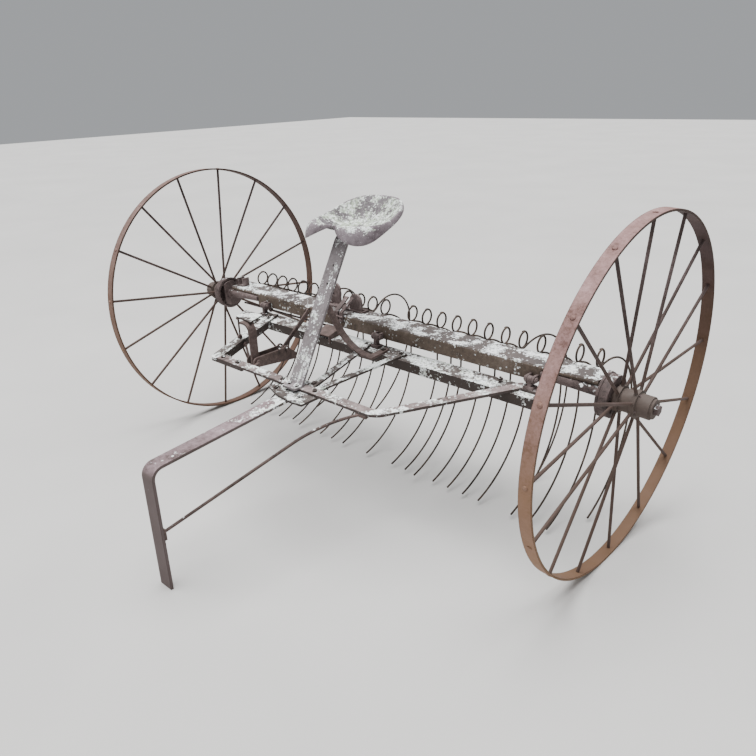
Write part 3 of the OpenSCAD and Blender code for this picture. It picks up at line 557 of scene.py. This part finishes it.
# Painted shade for the faces of the bars that don't face up.
PAINTED_FLANK_SHADE = (0.045, 0.031, 0.026)
BAR_STEEL = finish(
    "weathered bar steel", (0.07, 0.05, 0.045), (0.225, 0.175, 0.168), (0.43, 0.36, 0.35), flank_shade=PAINTED_FLANK_SHADE,
    edge=0.9, edge_tone=(0.06, 0.04, 0.034), edge_width=0.004, lichen=0.50, lichen_grain=1.5)
ARM_STEEL = finish(
    "lichened arm steel", (0.035, 0.028, 0.025), (0.09, 0.073, 0.066), (0.20, 0.17, 0.162), flank_shade=PAINTED_FLANK_SHADE,
    edge=0.6, edge_tone=(0.06, 0.042, 0.036), edge_width=0.0025, lichen=0.61, green=0.25, lichen_grain=1.6)
TONGUE_STEEL = finish(
    "bare tongue steel", (0.09, 0.06, 0.058), (0.24, 0.175, 0.185), (0.41, 0.32, 0.34),
    flank_shade=(0.11, 0.082, 0.075), edge=0.9, edge_tone=(0.05, 0.032, 0.028), edge_width=0.0035,
    lichen=0.20, lichen_grain=1.4, crowd=("Y", MID_Y - 1.02, MID_Y - 0.68, 0.40))
# The beam's pale edge tone paints a highlight along its edges.
BEAM_STEEL = finish(
    "lichened beam steel", (0.05, 0.036, 0.029), (0.12, 0.088, 0.067), (0.20, 0.155, 0.125),
    top_tone=(0.10, 0.088, 0.090), edge=0.6, edge_tone=(0.20, 0.155, 0.13),
    lichen=0.55, green=0.1, lichen_grain=1.7)
# The seat's pale pink edge tone paints a highlight along its edges.
SEAT_IRON = finish(
    "lichened seat iron", (0.07, 0.06, 0.062), (0.215, 0.19, 0.205), (0.41, 0.375, 0.395), fold_shade=True,
    edge=0.3, edge_tone=(0.40, 0.33, 0.36), lichen=0.68, green=0.62, lichen_grain=1.9)
SEAT_ROLL = finish(
    "rolled seat rim", (0.11, 0.085, 0.095), (0.24, 0.20, 0.22), (0.38, 0.325, 0.355),
    lichen=0.52, green=0.35, lichen_grain=2.8)
POST_STEEL = finish(
    "seat post steel", (0.12, 0.10, 0.10), (0.235, 0.207, 0.213), (0.33, 0.295, 0.305),
    edge=0.7, edge_tone=(0.07, 0.05, 0.045), edge_width=0.003, lichen=0.51, lichen_grain=2.0,
    crowd=("Z", 1.0, 0.68, 0.08))
TYRE_WEAR = dict(edge=1.0, edge_tone=(0.05, 0.024, 0.016), edge_width=0.004, side=(0.05, 0.026, 0.017),
                 bump=0.4, grain=2.2)
# The very dark tone of the tyre's inner face is painted shade.
TYRE_RUST = finish(
    "wheel tyre rust", (0.15, 0.075, 0.062), (0.31, 0.182, 0.172), (0.48, 0.305, 0.30),
    low_tone=(0.33, 0.185, 0.09), inner_shade=(0.020, 0.009, 0.008), **TYRE_WEAR)
# A darker copy of the near tyre's finish for the far wheel: painted shade.
TYRE_RUST_IN_SHADE = finish(
    "far wheel tyre rust in painted shade", (0.12, 0.066, 0.052), (0.20, 0.125, 0.107), (0.31, 0.208, 0.185),
    low_tone=(0.20, 0.11, 0.065), inner_shade=(0.055, 0.026, 0.021), **TYRE_WEAR)
RIVET_RUST = finish(
    "rivet rust", (0.15, 0.075, 0.062), (0.29, 0.17, 0.155), (0.44, 0.28, 0.27),
    low_tone=(0.31, 0.175, 0.085), bump=0.3)
SPOKE_RUST = finish(
    "spoke rust", (0.032, 0.020, 0.019), (0.072, 0.048, 0.044), (0.165, 0.12, 0.118),
    low_tone=(0.105, 0.065, 0.048), hub=(0.155, 0.14, 0.13), bump=0.4)
# The castings' pale edge tone paints a highlight along their edges.
CAST_RUST = finish(
    "casting rust", (0.035, 0.024, 0.022), (0.12, 0.086, 0.081), (0.27, 0.207, 0.20),
    edge=0.55, edge_tone=(0.36, 0.27, 0.26), lichen=0.32, green=0.1, bump=0.7)
# The levers' pale edge tone paints a highlight along their edges.
LINK_RUST = finish(
    "lever rust", (0.035, 0.023, 0.02), (0.10, 0.068, 0.06), (0.20, 0.143, 0.132),
    edge=0.6, edge_tone=(0.28, 0.20, 0.185), lichen=0.16, green=0.1)
SPRING_RUST = finish(
    "spring wire rust", (0.018, 0.012, 0.010), (0.05, 0.033, 0.025), (0.12, 0.083, 0.062), bump=0.3)


def coat(material, *names):
    """Gives the named solids one finish."""
    for name in names:
        mesh = nodes[name].data
        mesh.materials.clear()
        mesh.materials.append(material)


coat(BAR_STEEL, "frame_hoop", "corner_splice")
coat(ARM_STEEL, "crossbar", "left_arm", "brace_left", "brace_right", "gusset", "step_plate")
coat(TONGUE_STEEL, "tongue")
coat(BEAM_STEEL, "head_beam")
coat(POST_STEEL, "seat_post")
coat(SEAT_IRON, "seat_pan")
coat(TYRE_RUST, "rim_right")
coat(TYRE_RUST_IN_SHADE, "rim_left")
coat(SPOKE_RUST, "spokes_left", "spokes_right")
coat(CAST_RUST, "hinge_eyes", "hinge_forks", "tooth_clips", "latch_castings", "pawl_left", "pawl_right",
     "drum_left", "drum_right", "spindle_left", "spindle_right")
coat(LINK_RUST, "brace_rod", "lever_hanger", "foot_lever", "drop_link", "trip_arm", "rest_bracket",
     "trip_rod")
coat(SPRING_RUST, "teeth_a", "teeth_b", "teeth_c", "teeth_d")


# Fasteners: one tree sets heads, nuts or rivets on points that carry their facing

SHANK_SHARE = 0.72
STUD_TAPER = 0.82
STUD_HEIGHT = 1.45
STUD_SIDES = 10
MOST_TURN = 1.6


def cone(net, sides, bottom, top, depth):
    """A closed cone or prism that stands on the origin."""
    return net.put("GeometryNodeMeshCone", {"Vertices": sides, "Radius Bottom": bottom, "Radius Top": top,
                                            "Depth": depth}, fill_type="NGON").outputs["Mesh"]


def fastener_tree():
    """A head with a chamfered top and a stud's end on every point, turned on its axis at random."""
    tree = bpy.data.node_groups.new("fasteners on points", "GeometryNodeTree")
    face = tree.interface
    face.new_socket("Geometry", in_out="INPUT", socket_type="NodeSocketGeometry")
    for key, kind, default in (("Sides", "Int", 4), ("Radius", "Float", 0.011), ("Height", "Float", 0.008),
                               ("Taper", "Float", 0.86), ("Stud", "Float", 0.5), ("Turn seed", "Int", 3)):
        face.new_socket(key, in_out="INPUT", socket_type="NodeSocket" + kind).default_value = default
    face.new_socket("Material", in_out="INPUT", socket_type="NodeSocketMaterial")
    face.new_socket("Geometry", in_out="OUTPUT", socket_type="NodeSocketGeometry")
    net = Net(tree)
    i = net.put("NodeGroupInput").outputs
    o = net.put("NodeGroupOutput").inputs
    shank = net.times(i["Height"], SHANK_SHARE)
    chamfer = net.times(i["Height"], 1 - SHANK_SHARE)
    head = cone(net, i["Sides"], i["Radius"], i["Radius"], shank)
    top = cone(net, i["Sides"], i["Radius"], net.times(i["Radius"], i["Taper"]), chamfer)
    lift = net.put("ShaderNodeCombineXYZ", {"Z": shank}).outputs[0]
    raised = net.put("GeometryNodeTransform", {"Geometry": top, "Translation": lift}).outputs["Geometry"]
    stud_r = net.times(i["Radius"], i["Stud"])
    stud = cone(net, STUD_SIDES, stud_r, net.times(stud_r, STUD_TAPER), net.times(i["Height"], STUD_HEIGHT))
    join = net.put("GeometryNodeJoinGeometry")
    for part in (stud, raised, head):
        tree.links.new(part, join.inputs["Geometry"])
    facing = net.put("GeometryNodeInputNamedAttribute", {"Name": "facing"}, data_type="FLOAT_VECTOR")
    align = net.put("FunctionNodeAlignRotationToVector", {"Vector": facing.outputs["Attribute"]},
                    axis="Z").outputs[0]
    spin = net.put("FunctionNodeRandomValue", {"Min": 0.0, "Max": MOST_TURN, "Seed": i["Turn seed"]},
                   data_type="FLOAT")
    turn = net.put("FunctionNodeAxisAngleToRotation",
                   {"Axis": (0, 0, 1), "Angle": enabled(spin.outputs, "Value")}).outputs[0]
    turned = net.put("FunctionNodeRotateRotation", {"Rotation": align, "Rotate By": turn},
                     rotation_space="LOCAL").outputs[0]
    heads = net.put("GeometryNodeInstanceOnPoints", {"Points": i["Geometry"], "Instance": join.outputs[0],
                                                     "Rotation": turned}).outputs[0]
    real = net.put("GeometryNodeRealizeInstances", {"Geometry": heads}).outputs[0]
    done = net.put("GeometryNodeSetMaterial", {"Geometry": real, "Material": i["Material"]}).outputs[0]
    net.feed(o["Geometry"], done)
    return tree


FASTENERS = fastener_tree()


def fasten(name, body, slot, material, spots, smooth=False, **sizes):
    """Heads of one kind as one mesh. spots are (place, facing), and sizes are the tree's own inputs."""
    mesh = bpy.data.meshes.new(name + " points")
    mesh.from_pydata([tuple(place) for place, _ in spots], [], [])
    facing = mesh.attributes.new("facing", "FLOAT_VECTOR", "POINT")
    facing.data.foreach_set("vector", [c for _, way in spots for c in Vector(way).normalized()])
    obj = bpy.data.objects.new(name, mesh)
    bpy.context.scene.collection.objects.link(obj)
    mod = obj.modifiers.new("fasteners", "NODES")
    mod.node_group = FASTENERS
    ids = {s.name: s.identifier for s in FASTENERS.interface.items_tree if s.in_out == "INPUT"}
    for key, value in sizes.items():
        mod[ids[key]] = value
    mod[ids["Material"]] = material
    depsgraph = bpy.context.evaluated_depsgraph_get()
    done = bpy.data.meshes.new_from_object(obj.evaluated_get(depsgraph))
    obj.modifiers.remove(mod)
    obj.data = done
    bpy.data.meshes.remove(mesh)
    done.polygons.foreach_set("use_smooth", [smooth] * len(done.polygons))
    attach(obj, body)


RIVET_SUNK = 0.0012


def wheel_rivets(side, word):
    """Upset spoke ends on the tread."""
    spots = []
    for k in range(SPOKES):
        angle = FIRST_SPOKE[side] - k * math.tau / SPOKES
        outward = on_wheel(side, 0, 1, angle) - on_wheel(side, 0, 0, angle)
        spots.append((on_wheel(side, 0, WHEEL_R - RIVET_SUNK, angle), outward))
    fasten("spoke_rivets_" + word, "wheel_" + word, "wheel_steel", RIVET_RUST, spots, smooth=True,
           Sides=20, Radius=0.0095, Height=0.0030, Taper=0.72, Stud=0.1)


def hub_bolts(side, word):
    """Square heads on the outer face of the outer spoke ring."""
    outward = camber_turn(side) @ Vector((side, 0, 0))
    spots = []
    for k in range(HUB_BOLTS):
        angle = HUB_BOLT_TURN + k * math.tau / HUB_BOLTS
        spots.append((on_wheel(side, side * HUB_RING_FACE, HUB_BOLT_CIRCLE, angle), outward))
    fasten("hub_bolts_" + word, "wheel_" + word, "cast_rust", CAST_RUST, spots,
           Sides=4, Radius=0.008, Height=0.007)


# Places of the bolts on the draft frame, as (x, y) in its own millimetres

BAR_BOLTS = ((-540, FRONT_Y), (-425, FRONT_Y), (-100, FRONT_Y + 2), (112, FRONT_Y),
             (820, -30), (700, -30), (-778, -44), (-757, -78))
BRACE_BOLTS = ((-53, -48), (174, -50), (51, -490), (106, -490), (69, -60))
GUSSET_BOLTS = ((-78, -596), (78, -596))
POST_BOLTS = ((-24, -562), (24, -562))


def frame_bolts():
    """Square heads where bars meet the crossbar, the front bar, the gusset and the seat post."""
    seats = ((BAR_BOLTS, BAR_T + SEAT_GAP), (BRACE_BOLTS, BRACE_T + SEAT_GAP), (GUSSET_BOLTS, 0),
             (POST_BOLTS, BAR_T + POST_T + 2 * SEAT_GAP))
    spots = [(on_frame(x, y, height), UP_FRAME) for places, height in seats for x, y in places]
    fasten("frame_bolts", "draft_frame", "frame_steel", ARM_STEEL, spots,
           Sides=4, Radius=0.0125, Height=0.0085)


CASTING_BOLTS_X = (-0.407, -0.292, -0.177)
CASTING_BOLTS_Y = 0.085
LATCH_BARS_X = (-0.229, -0.264)
LATCH_BOLTS_DOWN = 0.024


def hinge_nuts():
    """A nut on each end of the three hinge pins."""
    spots = []
    for hinge in (-1, 0, 1):
        for end in (-1, 1):
            x = FRAME_X * MM + hinge * HINGE_X + end * HINGE_NUT_X
            spots.append((from_axle(x, HINGE_PIN_Y, HINGE_PIN_Z), (end, 0, 0)))
    fasten("hinge_nuts", "draft_frame", "cast_rust", CAST_RUST, spots,
           Sides=6, Radius=0.0125, Height=0.0065)


def casting_bolts():
    """Bolt heads on the latch casting's foot and on its two flat bars."""
    top = BEAM_Z + SEAT_GAP * MM + CASTING_T
    front = BEAM_FRONT_Y - SEAT_GAP * MM - CASTING_T
    spots = [(from_axle(x, CASTING_BOLTS_Y, top), (0, 0, 1)) for x in CASTING_BOLTS_X]
    spots += [(from_axle(x, front, BEAM_Z - LATCH_BOLTS_DOWN), (0, -1, 0)) for x in LATCH_BARS_X]
    fasten("casting_bolts", "rake_head", "cast_rust", CAST_RUST, spots,
           Sides=4, Radius=0.0115, Height=0.007)


def seat_bolt():
    """The round head that holds the seat to its post."""
    spots = [(on_seat(0, 0, 2 * SEAT_T), (0, 0, 1))]
    fasten("seat_bolt", "draft_frame", "frame_steel", CAST_RUST, spots,
           smooth=True, Sides=16, Radius=0.014, Height=0.004, Taper=0.55, Stud=0.2)


# Seat: the pressed sheet with its rolled edge, finer than the solid and smooth

SEAT_TURNS = 144
SEAT_RINGS = 18
ROLL_RINGS = 10


def from_notch(angle):
    """Degrees from the seat's front notch, 0 to 180, for degrees from +X."""
    return abs((angle + 270) % 360 - 180)


def peak(q, middle, width):
    """A smooth bump over the angle q: 1 at its middle, all in degrees."""
    return math.exp(-((q - middle) / width) ** 2)


def seat_section(q):
    """Sizes at q degrees from the front notch: the crest's radius and height, and the roll's half axes."""
    lobes = SEAT_FLAP * peak(q, 42, 28) - SEAT_NOTCH * peak(q, 0, 18)
    edge = SEAT_R - 8 * peak(q, 180, 40) + 6 * peak(q, 130, 25) + lobes
    wide = 14 + 42 * peak(q, 44, 22) - 11 * peak(q, 0, 16) - 4 * peak(q, 180, 40)
    deep = 24 + SEAT_DROOP * peak(q, 46, 30) - 22 * peak(q, 0, 22) - 14 * peak(q, 180, 50)
    rise = ((1 - math.cos(math.radians(q))) / 2) ** 1.9
    crest = SEAT_DISH + SEAT_BACK * rise * rise * (3 - 2 * rise)
    return edge - wide, crest, max(wide / 1.4, ROLL_MIN), max(deep, ROLL_MIN)


def seat_ring(q, v, off):
    """(radius, height) of the sheet at v: 0 to 1 in the dish, 1 to 2 in the roll; off is the depth in it."""
    r, h, a, b = seat_section(q)
    slope = DISH_POWER * h / r
    if v <= 1:
        tilt = math.atan(slope * v ** (DISH_POWER - 1))
        return r * v + off * math.sin(tilt), h * v ** DISH_POWER - off * math.cos(tilt)
    first = math.atan(slope * a / b)
    t = (v - 1) * (math.pi / 2 + first) - first
    out = r + a * math.sin(first) + (a - off) * math.sin(t)
    return out, h - b * math.cos(first) + (b - off) * math.cos(t)


def seat_points(steps):
    """The underside and then the top: its middle point and its rings."""
    points = []
    for off in (SEAT_T, 0):
        points.append(on_seat(0, 0, SEAT_T - off))
        for v in steps:
            for k in range(SEAT_TURNS):
                angle = k * 360 / SEAT_TURNS
                r, z = seat_ring(from_notch(angle), v, off)
                t = math.radians(angle)
                points.append(on_seat(r * math.cos(t), r * math.sin(t), z + SEAT_T))
    return points


def seat_faces(rings):
    """Faces of both sides of the sheet, and the strip that closes its rim."""
    skin = 1 + SEAT_TURNS * rings

    def at(side, ring, k):
        return side * skin + (0 if ring == 0 else 1 + (ring - 1) * SEAT_TURNS + k % SEAT_TURNS)

    faces = []
    for k in range(SEAT_TURNS):
        for side in (0, 1):
            faces.append((at(side, 0, 0), at(side, 1, k), at(side, 1, k + 1)))
            for ring in range(1, rings):
                faces.append((at(side, ring, k), at(side, ring + 1, k),
                              at(side, ring + 1, k + 1), at(side, ring, k + 1)))
        faces.append((at(0, rings, k), at(1, rings, k), at(1, rings, k + 1), at(0, rings, k + 1)))
    return faces


def make_seat():
    """The pressed seat in two finishes: the dish, and past its crest the roll."""
    steps = [k / SEAT_RINGS for k in range(1, SEAT_RINGS + 1)]
    steps += [1 + k / ROLL_RINGS for k in range(1, ROLL_RINGS + 1)]
    mesh = bpy.data.meshes.new("pressed_seat")
    mesh.from_pydata([tuple(p) for p in seat_points(steps)], [], seat_faces(len(steps)))
    bm = bmesh.new()
    bm.from_mesh(mesh)
    bmesh.ops.recalc_face_normals(bm, faces=bm.faces)
    bm.to_mesh(mesh)
    bm.free()
    mesh.materials.append(SEAT_IRON)
    mesh.materials.append(SEAT_ROLL)
    middle = on_seat(0, 0, 0)
    for face in mesh.polygons:
        out = face.center - middle
        crest = seat_section(from_notch(math.degrees(math.atan2(out.y, out.x))))[0]
        face.use_smooth = True
        face.material_index = int(math.hypot(out.x, out.y) > crest * MM)
    seat = bpy.data.objects.new("pressed_seat", mesh)
    bpy.context.scene.collection.objects.link(seat)
    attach(seat, "draft_frame")
    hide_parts("seat_pan")


wheel_rivets(-1, "left")
wheel_rivets(1, "right")
hub_bolts(-1, "left")
hub_bolts(1, "right")
frame_bolts()
hinge_nuts()
casting_bolts()
seat_bolt()
make_seat()


# Floor

FLOOR_HALF = 30
FLOOR_TONES = [(0.3, (0.47, 0.463, 0.452)), (0.7, (0.51, 0.502, 0.49))]


def make_floor():
    """A plain pale floor."""
    mesh = bpy.data.meshes.new("floor")
    s = FLOOR_HALF
    mesh.from_pydata([(-s, -s, 0), (s, -s, 0), (s, s, 0), (-s, s, 0)], [], [(0, 1, 2, 3)])
    mat = bpy.data.materials.new("pale floor")
    mat.use_nodes = True
    net = Net(mat.node_tree)
    shader = mat.node_tree.nodes["Principled BSDF"].inputs
    place = net.put("ShaderNodeTexCoord").outputs["Object"]
    net.feed(shader["Base Color"], net.ramp(net.noise(place, 0.8, 3), FLOOR_TONES))
    net.feed(shader["Roughness"], 0.9)
    mesh.materials.append(mat)
    floor = bpy.data.objects.new("floor", mesh)
    bpy.context.scene.collection.objects.link(floor)


make_floor()
set_camera()
set_light()
